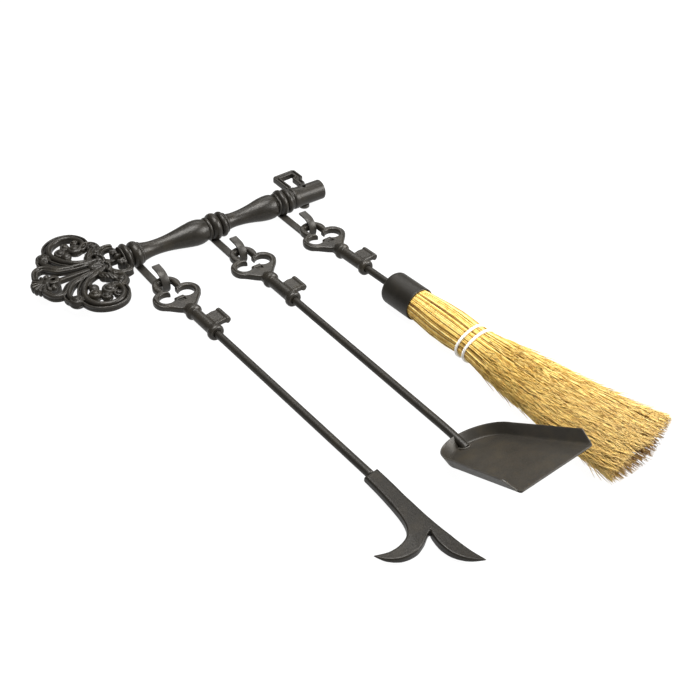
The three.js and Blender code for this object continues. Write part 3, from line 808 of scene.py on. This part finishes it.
def rod(body, to, bend=0.0):
    """Round steel rod, narrowed where it enters its socket. Its last stretch may bend down."""
    stretch = 40
    ys = np.concatenate([np.linspace(SOCKET_DEPTH, 0, 4), np.linspace(-4, 4 - to + stretch, 24),
                         np.linspace(stretch - to, -to, 22)])
    drop = bend * np.clip((stretch - to - ys) / stretch, 0, 1) ** 2
    path = np.stack([0 * ys, ys, -drop], 1)
    section = np.stack([circle(ROD_R - 0.6, 40)] + [circle(ROD_R, 40)] * (len(ys) - 1))
    return piece(f"{body}_rod_drawn", *sweep(path, section, (1, 0, 0)), tool_frame(body), STEEL, body,
                 "black_steel", f"{body}_rod")


# ---------- poker head ----------
def poker_head():
    """Forged head: a square shank that splits into a straight point and a hook, with softly rubbed bevels."""
    point, crotch, hook_tip = (17.5, -424), (-3.0, -368.6), (-63, -355)
    right = [(8.6, -277.5), (8.5, -290), (8.2, -305), (7.2, -328), (7.0, -356), (8.7, -382), (12, -404),
             point]
    inner = [point, (4, -414.5), (-4.6, -401), (-6.9, -386), (-4.9, -373), crotch]
    hook_in = [crotch, (-7.0, -369.5), (-17, -375), (-30, -378.5), (-45, -376), (-57, -367), hook_tip]
    hook_out = [hook_tip, (-50, -361), (-38, -362.5), (-26, -359.5), (-18, -351), (-13.6, -337),
                (-11.5, -318), (-10, -300), (-9.4, -286), (-9.2, -277.5)]
    outline = np.concatenate([smooth_line(line, 6)[:-1] for line in (right, inner, hook_in, hook_out)])
    clay = Clay((-65, -426, -6), (20, -275, 6), 0.6)
    flat = clay.polygon(outline)
    near_tip = np.minimum(*(np.hypot(clay.x - x, clay.y - y) for x, y in (hook_tip, point)))
    half = 0.5 + (HEAD_HALF - 0.5) * np.clip(near_tip / 42, 0, 1) ** 0.75
    bevel = np.minimum(1.3, half * 0.5)
    corner = (flat + np.abs(clay.z) - half + bevel) * math.sqrt(0.5)
    soft = np.minimum(0.4 + 2.4 * np.clip((clay.y + 352) / 30, 0, 1), half * 0.8)
    clay.add(np.maximum(rounded(flat, np.abs(clay.z) - half, soft), corner))
    clay.cut(-POKER_ROD - GAP - clay.y, 0.8)
    piece("poker_head_forged", *clay.skin(), tool_frame("poker"), FORGED, "poker", "cast_iron", "poker_head")


# ---------- shovel pan ----------
def pan_frame():
    """The pan's own frame: x across, y towards the lip and z up from its floor."""
    tilt = Matrix.Rotation(math.radians(-PAN_TILT - TOOLS["shovel"][2]), 4, "X")
    turned = Matrix.Rotation(math.pi, 4, "Z")
    return tool_frame("shovel") @ Matrix.Translation((0, PAN_AT, PAN_UNDER)) @ tilt @ turned


PAN = pan_frame()


def pan_edge(share, out, front):
    """A point on the pan's outline at a share of the way round it from the left front to the right front."""
    wide, deep = PAN_BACK_HALF + out, PAN_BACK_DEEP + out
    centre = 1 - out + deep
    straight = front - centre
    curve = 1.1 * (wide + deep)
    total = 2 * straight + curve
    place = share * total
    if straight <= place <= total - straight:
        a = math.pi + math.pi * (place - straight) / curve
        return math.cos(a) * wide, centre + deep * math.sin(a)
    side = -1 if place < straight else 1
    t = min(place, total - place) / straight
    return side * (PAN_HALF + out - (PAN_HALF - PAN_BACK_HALF) * t), front - straight * t


def pan_levels():
    """How far out and how far up the pan's rows of points lie: its rounded fold, then its leaning wall."""
    fold = 4.2
    turn = math.pi / 2 - math.atan2(PAN_LEAN, PAN_WALL)
    start = -fold * math.tan(turn / 2)
    levels = [(start + fold * math.sin(a), fold * (1 - math.cos(a))) for a in np.linspace(0, turn, 7)]
    out, up = levels[-1]
    return levels + [(out + (PAN_LEAN - out) * t, up + (PAN_WALL - up) * t) for t in np.linspace(0, 1, 6)[1:]]


def shovel_pan():
    """Pressed sheet: a floor, a rounded fold and a wall that leans out and is cut back at the front."""
    around, across = 121, 17
    rows = []
    for out, up in pan_levels():
        front = PAN_DEPTH - PAN_FRONT_CUT * up / PAN_WALL
        rows.append([(*pan_edge(i / (around - 1), out, front), up) for i in range(around)])
    points, faces = rings(rows, "open", closed_row=False)
    first, half = points[:around], around // 2
    floor = []
    grid = np.zeros((half + 1, across), int)
    for i in range(half + 1):
        far = around - 1 - i
        for j in range(across):
            if j == 0:
                grid[i, j] = i
            elif j == across - 1 or i == half:
                grid[i, j] = far
            else:
                t = j / (across - 1)
                grid[i, j] = len(points) + len(floor)
                floor.append(first[i] * (1 - t) + first[far] * t)
    for i in range(half):
        for j in range(across - 1):
            quad = [int(v) for v in (grid[i, j], grid[i, j + 1], grid[i + 1, j + 1], grid[i + 1, j])]
            corners = tuple(dict.fromkeys(quad))
            if len(corners) > 2:
                faces.append(corners)
    made = piece("shovel_pan_pressed", np.concatenate([points, floor]), faces, PAN, SHEET, "shovel",
                 "black_steel", "shovel_pan")
    modify(made, "SOLIDIFY", thickness=PAN_SHEET * MM, offset=-1.0, use_even_offset=True)
    modify(made, "BEVEL", width=0.45 * MM, segments=2, limit_method="ANGLE", angle_limit=math.radians(50))
    for way in (1, -1):
        cut(made, *lip_corner(way), PAN)
    sharpen(made, 55)


def lip_corner(way):
    """What is cut away to round a front corner of the floor."""
    r = 5.0
    x0, y0 = PAN_HALF - r, PAN_DEPTH - r
    far_x, far_y = PAN_HALF + 4, PAN_DEPTH + 4
    curve = [(x0 + r * math.cos(a), y0 + r * math.sin(a)) for a in arc(0, 90, 9)]
    outline = [(far_x, y0), *curve, (x0, far_y), (far_x, far_y)]
    outline = [(x * way, y) for x, y in outline][::way]
    return rings([[(x, y, z) for x, y in outline] for z in (-4, 4)])


def shovel_weld():
    """The fillet that fastens the rod's end to the pan's floor, bent round that end."""
    r = 5.6
    path = [(r * math.sin(a), 5.2 + r * math.cos(a) * 1.15, PAN_SHEET + 0.3) for a in arc(-100, 100, 41)]
    piece("shovel_weld", *sweep(path, circle(1.25, 12), (0, 0, 1)), PAN, SHEET, "shovel", "black_steel")


# ---------- broom ----------
def broom_ferrule():
    """Spun steel cup: a rounded shoulder, a plain wall and a softened mouth."""
    start, mouth, r = FERRULE_START, FERRULE_END, FERRULE_R
    bore, shoulder, wall, lip = ROD_R + GAP, 6.5, 1.4, 0.7
    profile = [(start + 0.4, bore), (start, bore + 0.5)]
    profile += [(start, x) for x in np.linspace(7.5, r - shoulder, 5)]
    profile += [(start + shoulder * (1 - math.cos(a)), r - shoulder * (1 - math.sin(a)))
                for a in arc(8, 90, 12)]
    profile += [(s, r) for s in np.linspace(start + shoulder + 4, mouth - 3, 10)]
    profile += [(mouth - lip * (1 - math.sin(a)), r - lip * (1 - math.cos(a))) for a in arc(0, 180, 9)]
    profile += [(mouth - 2, r - wall), (start + shoulder + 4, r - wall), (start + 3, r - 6),
                (start + wall, 8), (start + wall, bore)]
    made = piece("broom_ferrule_spun", *lathe(profile, 96, "loop"), tool_frame("broom") @ DOWN_TOOL, STEEL,
                 "broom", "black_steel", "broom_ferrule")
    sharpen(made, 50)


# Half width and half height of the straw bundle at distances along the broom.
STRAW_SIZES = ((48, 17.5, 17.5), (98, 19.2, 19.2), (112, 21.0, 20.2), (130, 23.6, 21.0), (158, 25.4, 21.0),
               (176, 24.8, 19.4), (CORD_AT, 24.2, 17.8), (206, 26.4, 18.2), (222, 29.8, 18.6),
               (245, 33.6, 18.6), (270, 37.2, 18.5), (300, 41.0, 18), (331, 45.0, 17.6), (380, 50.4, 17),
               (STRAW_END, 54.5, 16.5))
STRAW_LINE = smooth_line(STRAW_SIZES, 6)


def straw_section(s):
    """The bundle at a distance along the broom: half width, half height, and drift to the side and up."""
    t = np.clip((s - 110) / (STRAW_END - 110), 0, 1)
    wide = np.interp(s, STRAW_LINE[:, 0], STRAW_LINE[:, 1])
    high = np.interp(s, STRAW_LINE[:, 0], STRAW_LINE[:, 2])
    return wide, high, 3 * t + 5.5 * t ** 2, -6 * t + 8 * t ** 2


def straw_piece(name, parts, tints_and_shades, frays_and_shades, *nodes):
    """One piece of straw from its parts, with each point's colour value, which carries painted shade, and how
    frayed it is.
    """
    made = piece(name, *join(parts), tool_frame("broom"), STRAW, "broom", "straw", *nodes)
    for label, values in (("tint_and_shade", tints_and_shades), ("worn", frays_and_shades)):
        layer = made.data.attributes.new(label, "FLOAT", "POINT")
        layer.data.foreach_set("value", np.concatenate(values).astype(np.float32))


def straw_core():
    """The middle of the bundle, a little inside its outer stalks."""
    turns = full_turn(96)
    rows = []
    for s in np.concatenate([np.arange(FERRULE_START + 10, 394, 6.0), [398]]):
        wide, high, right, up = straw_section(s)
        inset = 3.6 + 2.0 * max(0, (s - 330) / 70)
        ripple = 0.5 * np.sin(turns * 31 + s * 0.05) + 0.4 * np.sin(turns * 17 - s * 0.03)
        rows.append(np.stack([right + (wide - inset + ripple) * np.sin(turns), 0 * turns - s,
                              up + (high - inset + ripple) * np.cos(turns)], 1))
    count = len(rows) * len(turns)
    # Painted shade: the core is nearly black, standing in for the shadow inside the bundle between the
    # stalks.
    straw_piece("straw_core", [rings(rows)], [np.full(count, 0.02)], [np.zeros(count)])


def flank_shade(sides):
    """How light each point round a stalk is: its outer ridge is bright and its flanks lie in the shade."""
    return 0.08 + 0.92 * np.maximum(np.sin(full_turn(sides)), 0)


def straw_reach(turn, depth=1.0):
    """How far along the broom the stalks reach: they are worn shorter on the right side."""
    return STRAW_END - 17 * max(0, math.sin(turn) * depth - 0.1) ** 1.3


def straw_flare(s, turn):
    """How much further the right side spreads near its end."""
    return 6.5 * np.clip((s - 350) / 65, 0, 1) ** 1.5 * max(0, math.sin(turn)) ** 2


def straw_tint(rng):
    """Mostly gold, with some stalks dark."""
    if rng.uniform() < 0.14:
        return rng.uniform(0.0, 0.12)
    return np.clip(rng.normal(0.6, 0.2), 0.2, 1)


def tapered(radii, sides):
    """A round section for each point of a stalk."""
    return circle(1.0, sides)[None] * radii[:, None, None]


def stalks(name, seed, count, layers, starts, ends, radii, depths, wander, sides, nodes=()):
    """Tapered stalks that end in the fray, in layers from the outside in. A depth is a share of the way out
    from the middle, and wander is how far a stalk strays at each step, in millimetres."""
    rng = np.random.default_rng(seed)
    parts, tints_and_shades, frays_and_shades = [], [], []
    steps = 15
    for number in range(count):
        layer, place = number % layers, number // layers
        turn = 2 * math.pi * (place + layer / 2 + rng.uniform(-0.35, 0.35)) / (count // layers)
        depth = depths[1] - (depths[1] - depths[0]) * layer / (layers - 1) - rng.uniform(0, 0.03)
        start = rng.uniform(*starts)
        end = rng.uniform(*ends) + straw_reach(turn, depth) - STRAW_END
        s = np.linspace(start, end, steps)
        wide, high, right, up = straw_section(s)
        loose = 0.25 + np.clip((s - 200) / 230, 0, 1)
        drift = np.cumsum(rng.normal(0, wander, steps)) * loose
        lift = np.cumsum(rng.normal(0, wander * 0.6, steps)) * loose
        radius = rng.uniform(*radii)
        shrink = radius * 1.1
        x = (wide - shrink) * depth * math.sin(turn) + drift
        z = (high - shrink) * depth * math.cos(turn) + lift
        pull = np.minimum(1, (1 - shrink / wide) / np.maximum(np.hypot(x / wide, z / high), 1e-6))
        path = np.stack([right + x * pull + straw_flare(s, turn) * depth, -s, up + z * pull], 1)
        section = tapered(radius * (1 - 0.6 * np.linspace(0, 1, steps) ** 1.3), sides)
        parts.append(sweep(path, section, (math.cos(turn), 0, -math.sin(turn))))
        # Painted shade: each layer further in is darker, as less light reaches it.
        shade = (straw_tint(rng) + 0.08) * (1 - 0.5 * layer / layers)
        worn = np.clip((s - 290) / 150, 0, 1) * rng.uniform(0.2, 0.9)
        # Painted shade: the flanks of each stalk are darkened, as if shaded by its neighbours.
        tints_and_shades.append(np.outer(shade + rng.normal(0, 0.05, steps), flank_shade(sides)).ravel())
        # The fray is lowered on the flanks as well, keeping their painted shade.
        frays_and_shades.append(np.outer(worn, flank_shade(sides)).ravel())
    straw_piece(name, parts, tints_and_shades, frays_and_shades, *nodes)


def straw_chaff(seed, count):
    """Short split fibres on the outside of the lower half, a few of them standing off it."""
    rng = np.random.default_rng(seed)
    parts, tints_and_shades, frays_and_shades = [], [], []
    thickness = np.array([0.6, 1.0, 1.0, 0.8, 0.3])
    steps, sides = len(thickness), 3
    shades = np.tile(flank_shade(sides), steps)
    wall_clearance = 0.9
    for _ in range(count):
        turn = rng.uniform(0, 2 * math.pi)
        reach = straw_reach(turn)
        start = 215 + (reach - 225) * rng.uniform() ** 0.75
        length = rng.uniform(10, 34)
        s = np.linspace(start, min(start + length, reach), steps)
        wide, high, right, up = straw_section(s)
        tilt = rng.normal(0, 0.2)
        wave = rng.normal(0, 0.5, steps) + tilt * (s - start)
        stand = np.linspace(-0.6, rng.choice((0.2, 0.5, 1.6), p=(0.5, 0.4, 0.1)), steps)
        sideways = (math.cos(turn), 0, -math.sin(turn))
        x = right + (wide + stand) * math.sin(turn) + wave * sideways[0] + straw_flare(s, turn)
        z = up + (high + stand) * math.cos(turn) + wave * sideways[2]
        z = np.maximum(z, wall_clearance - TOOLS["broom"][0][2])
        section = tapered(rng.uniform(0.3, 0.55) * thickness, sides)
        parts.append(sweep(np.stack([x, -s, z], 1), section, sideways))
        # Painted shade: the flanks of each fibre are darkened, in its colour and in its fray.
        tints_and_shades.append((straw_tint(rng) + 0.2) * shades)
        frays_and_shades.append(np.clip((start - 230) / 190, 0, 1) * rng.uniform(0.2, 1.0) * shades)
    straw_piece("straw_chaff", parts, tints_and_shades, frays_and_shades)


def bound_cord(place, s):
    """A twisted cord tied round the straw: two plies wound about one another along an oval."""
    ply_r, offset, plies, pitch = 1.15, 0.7, 2, 6.0
    wide, high, right, up = (float(v) for v in straw_section(np.array(s)))
    a, b = wide + 1.0, high + 0.9
    turns = full_turn(420)
    centre = np.stack([right + a * np.sin(turns), 0.5 * np.sin(3 * turns) - s, up + b * np.cos(turns)], 1)
    outward = unit(np.stack([np.sin(turns) / a, 0 * turns, np.cos(turns) / b], 1))
    length = np.linalg.norm(np.roll(centre, -1, 0) - centre, axis=1)
    twists = round(length.sum() / pitch)
    phase = np.concatenate([[0], np.cumsum(length)[:-1]]) / length.sum() * 2 * math.pi * twists
    parts = []
    for ply in range(plies):
        angle = (phase + 2 * math.pi * ply / plies)[:, None]
        path = centre + offset * (np.cos(angle) * outward + np.sin(angle) * np.array([0.0, 1.0, 0.0]))
        parts.append(sweep(path, circle(ply_r, 8), outward, "loop"))
    piece(f"broom_cord_{place}_twisted", *join(parts), tool_frame("broom"), COTTON, "broom", "white_cord",
          f"broom_cord_{place}")


# ---------- build ----------
rack_shaft()
rack_bow()
rack_bit()
wall_boss("bow", WALL_HOLES[0], BOSS_R[0], BAR_Z - BOW_HALF - GAP)
wall_boss("end", WALL_HOLES[1], BOSS_R[1], BAR_Z - TIP_R - GAP)
for tool_name, hook_x in zip(TOOLS, HOOK_X, strict=True):
    hook(tool_name, hook_x)
    hook_screw(tool_name, hook_x)

handle = handle_clay()
for tool_name in TOOLS:
    piece(f"{tool_name}_handle_cast", *handle, tool_frame(tool_name), KEY_IRON, tool_name, "cast_iron",
          f"{tool_name}_handle")

rod("poker", POKER_ROD + 2)
poker_head()
shovel_rod = rod("shovel", SHOVEL_ROD, bend=2.5)
cut(shovel_rod, *block((-30, -6, -40), (30, 60, PAN_SHEET * 0.6)), PAN)
sharpen(shovel_rod, 40)
shovel_pan()
shovel_weld()
rod("broom", BROOM_ROD)
broom_ferrule()
straw_core()
stalks("straw_stalks", SEED, count=546, layers=7, starts=(FERRULE_START + 10, FERRULE_START + 14),
       ends=(392, STRAW_END), radii=(0.95, 1.3), depths=(0.5, 1.0), wander=0.4, sides=5,
       nodes=("broom_bristles",))
stalks("straw_fibres", SEED + 1, count=1450, layers=5, starts=(205, 330), ends=(388, STRAW_END),
       radii=(0.4, 0.7), depths=(0.6, 1.0), wander=1.1, sides=4)
stalks("straw_heart", SEED + 3, count=180, layers=4, starts=(340, 370), ends=(392, 428), radii=(0.9, 1.3),
       depths=(0.06, 0.52), wander=0.5, sides=5)
straw_chaff(SEED + 2, count=3000)
bound_cord("upper", CORD_AT - CORD_GAP / 2)
bound_cord("lower", CORD_AT + CORD_GAP / 2)

# ---------- stage, lights and camera ----------
scene = bpy.context.scene
scene.view_settings.view_transform = "Standard"


def floor_plane():
    """A pale wall just behind the set, which looks brighter than it lights the set."""
    size = 6000
    corners = [(-size, -size, 0), (size, -size, 0), (size, size, 0), (-size, size, 0)]
    made = solid("floor", corners, [(0, 1, 2, 3)], Matrix.Translation((0, 0, -0.6)))
    material, tree, shader = nodes_of("pale_floor")
    fill(shader, {"Base Color": (0.1, 0.1, 0.1, 1), "Roughness": 0.9, "Specular IOR Level": 0.0,
                  "Emission Color": (1, 1, 1, 1)})
    seen = tree.nodes.new("ShaderNodeLightPath").outputs["Is Camera Ray"]
    glow = tree.nodes.new("ShaderNodeMapRange")
    fill(glow, {"To Min": 0.7, "To Max": 0.97})
    tree.links.new(seen, glow.inputs["Value"])
    tree.links.new(glow.outputs["Result"], shader.inputs["Emission Strength"])
    made.data.materials.append(material)


def softbox(name, at, size, power):
    """A rectangular lamp that faces the middle of the set."""
    light = bpy.data.lights.new(name, "AREA")
    light.shape = "RECTANGLE"
    light.size, light.size_y = size
    light.energy = power
    lamp = in_scene(name, light)
    lamp.location = at
    lamp.rotation_euler = (-Vector(at)).to_track_quat("-Z", "Y").to_euler()


def camera():
    """Above and to the lower left of the set, as in the photo."""
    from_hook = Vector((-389.2, -991.5, 715.6))
    down, turn, roll = (math.radians(v) for v in (39.68, 36.71, 0.97))
    aim = Matrix.Rotation(-turn, 4, "Z") @ Matrix.Rotation(math.pi / 2 - down, 4, "X")
    data = bpy.data.cameras.new("camera")
    data.lens = 48.84
    data.clip_end = 20
    made = in_scene("camera", data)
    made.matrix_world = aim @ Matrix.Rotation(roll, 4, "Z")
    made.location = (RACK @ from_hook) * MM
    scene.camera = made


floor_plane()
world = bpy.data.worlds.new("studio")
scene.world = world
world.use_nodes = True
fill(world.node_tree.nodes["Background"], {"Color": (1, 1, 1, 1), "Strength": 0.18})
softbox("key", (1.7, -1.2, 1.1), (1.5, 1.2), 70)
softbox("top", (0.1, 0.1, 2.4), (1.5, 1.5), 84)
softbox("back", (1.2, 1.7, 1.7), (1.6, 0.8), 12)
camera()
